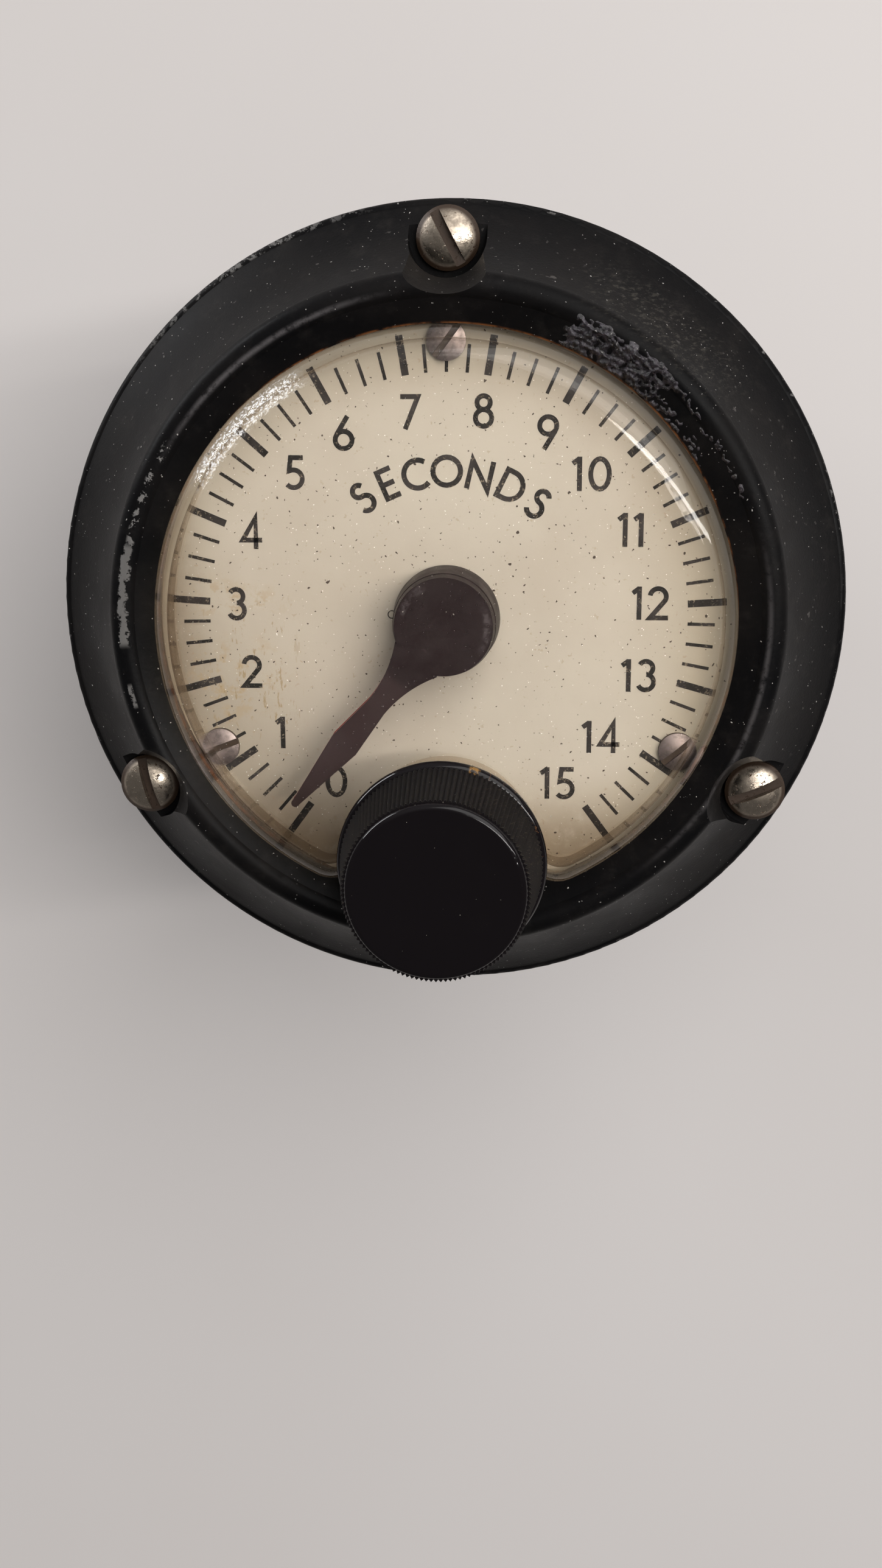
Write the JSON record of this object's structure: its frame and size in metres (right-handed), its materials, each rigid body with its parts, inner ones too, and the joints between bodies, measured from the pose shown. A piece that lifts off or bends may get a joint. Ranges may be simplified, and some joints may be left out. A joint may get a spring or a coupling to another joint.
{
  "type": "panel-mounted interval timer",
  "caption": "Round flush-panel darkroom interval timer with a seconds dial, twin coaxial pointers, domed window, setting knob, motor-driven gear train and rear terminal bay.",
  "frame": {"origin": "on the dial axis, in the plane of the flange's seating face, where the front of the panel comes; centre of the mounting-screw circle", "axes": "+Z out of the dial towards the user, +Y towards 12 o'clock, +X towards 3 o'clock; the part lies on its flat rear face"},
  "size_m": [0.0888, 0.0888, 0.1036],
  "materials": {
    "black_paint": "satin black baked paint, chipped",
    "clear_plastic": "clear moulded acrylic",
    "gasket_rubber": "aged brown rubber",
    "dial_enamel": "matt cream enamel with worn dark print",
    "nickel": "tarnished nickel plate",
    "steel": "machined steel",
    "brass": "machined brass",
    "spring_bronze": "spring bronze strip",
    "dark_maroon": "dark maroon satin paint",
    "red_paint": "red satin paint",
    "black_phenolic": "polished black phenolic",
    "brown_phenolic": "moulded brown phenolic",
    "ivory_plastic": "ivory moulded button",
    "zinc_steel": "zinc-plated steel",
    "black_tape": "taped and varnished winding",
    "rotor_iron": "dark magnet iron",
    "case_paint": "black lacquered drawn steel"
  },
  "bodies": {
    "case": {"bezel": "black_paint", "mounting_screws": "nickel", "window": "clear_plastic", "window_gasket": "gasket_rubber", "dial_plate": "dial_enamel", "dial_screws": "nickel", "front_plate": "brass", "retaining_ring": "steel", "front_bushing": "brass", "knob_bushing": "brass", "plate_pillars": "brass", "rear_plate": "brass", "rear_plate_screws": "steel", "pivot_bushings": "brass", "idler_pin": "steel", "hairspring": "spring_bronze", "hairspring_stud": "brass", "motor_plate": "zinc_steel", "motor_cup": "zinc_steel", "motor_bearings": "brass", "motor_coil": "black_tape", "motor_screws": "steel", "clutch_yoke": "steel", "clutch_core": "steel", "clutch_coil": "black_tape", "armature_pin": "steel", "armature_spring": "steel", "switch_body": "brown_phenolic", "switch_tabs": "brass", "switch_screws": "steel", "case_can": "case_paint", "case_pillars": "brass", "case_screws": "nickel", "terminal_block": "brown_phenolic", "terminal_lugs": "brass", "terminal_screws": "nickel", "block_rivets": "brass"},
    "setting_knob": {"knob": "black_phenolic", "knob_set_screw": "steel", "knob_shaft": "steel", "knob_gear": "brass"},
    "idler": {"idler_gear": "brass"},
    "set_hand": {"set_pointer": "dark_maroon", "set_arbor": "steel", "set_gear": "brass"},
    "progress_hand": {"progress_pointer": "red_paint", "progress_tube": "steel", "tube_clip": "steel", "trip_arm": "steel", "hairspring_collet": "brass"},
    "clutch_disc": {"clutch_plate": "steel"},
    "clutch_wheel": {"clutch_gear": "brass"},
    "motor_rotor": {"rotor": "rotor_iron", "rotor_shaft": "steel"},
    "first_reduction": {"first_gear": "brass", "first_pinion": "steel"},
    "second_reduction": {"second_gear": "brass", "second_pinion": "steel"},
    "armature": {"clutch_armature": "steel"},
    "plunger": {"switch_plunger": "ivory_plastic"}
  },
  "joints": [
    {"name": "knob_turn", "type": "hinge", "parent": "case", "child": "setting_knob", "pos_m": [0, -0.025, 0.0184], "axis": [0, 0, -1], "range_deg": [-3.84, 284.16]},
    {"name": "idler_turn", "type": "hinge", "parent": "case", "child": "idler", "pos_m": [-0.00999, -0.0125, -0.0123], "axis": [0, 0, -1], "range_deg": [-284.16, 3.84]},
    {"name": "set_hand_turn", "type": "hinge", "parent": "case", "child": "set_hand", "pos_m": [0, 0, -0.0123], "axis": [0, 0, -1], "range_deg": [-3.84, 284.16]},
    {"name": "progress_hand_turn", "type": "hinge", "parent": "case", "child": "progress_hand", "pos_m": [0, 0, 0.0054], "axis": [0, 0, -1], "range_deg": [-3.84, 284.16], "stiffness_Nm_per_rad": 0.00002},
    {"name": "clutch_disc_slide", "type": "slide", "parent": "progress_hand", "child": "clutch_disc", "axis": [0, 0, -1], "range_m": [0, 0.0006]},
    {"name": "clutch_wheel_spin", "type": "hinge", "parent": "case", "child": "clutch_wheel", "pos_m": [0, 0, -0.0068], "axis": [0, 0, -1], "continuous": true},
    {"name": "rotor_spin", "type": "hinge", "parent": "case", "child": "motor_rotor", "pos_m": [-0.00032, 0.01353, -0.03], "axis": [0, 0, -1], "continuous": true},
    {"name": "first_reduction_spin", "type": "hinge", "parent": "case", "child": "first_reduction", "pos_m": [0.01408, 0.01353, -0.0143], "axis": [0, 0, -1], "continuous": true},
    {"name": "second_reduction_spin", "type": "hinge", "parent": "case", "child": "second_reduction", "pos_m": [0.019, 0, -0.0103], "axis": [0, 0, -1], "continuous": true},
    {"name": "armature_tilt", "type": "hinge", "parent": "case", "child": "armature", "pos_m": [-0.02719, 0.01268, -0.0026], "axis": [0.4226, 0.9063, 0], "range_deg": [0, 1.15], "stiffness_Nm_per_rad": 0.02, "springref_deg": -1.15, "deforming": ["armature_spring"]},
    {"name": "plunger_press", "type": "slide", "parent": "case", "child": "plunger", "axis": [0, -1, 0], "range_m": [0, 0.0008], "stiffness_N_per_m": 400, "springref_m": -0.0005}
  ],
  "couplings": [
    {"joint": "idler_turn", "follows": "knob_turn", "ratio": -1},
    {"joint": "set_hand_turn", "follows": "knob_turn", "ratio": 1},
    {"joint": "first_reduction_spin", "follows": "rotor_spin", "ratio": -0.2},
    {"joint": "second_reduction_spin", "follows": "rotor_spin", "ratio": 0.04},
    {"joint": "clutch_wheel_spin", "follows": "rotor_spin", "ratio": -0.010667},
    {"joint": "clutch_disc_slide", "follows": "armature_tilt", "m_per_rad": 0.03}
  ]
}
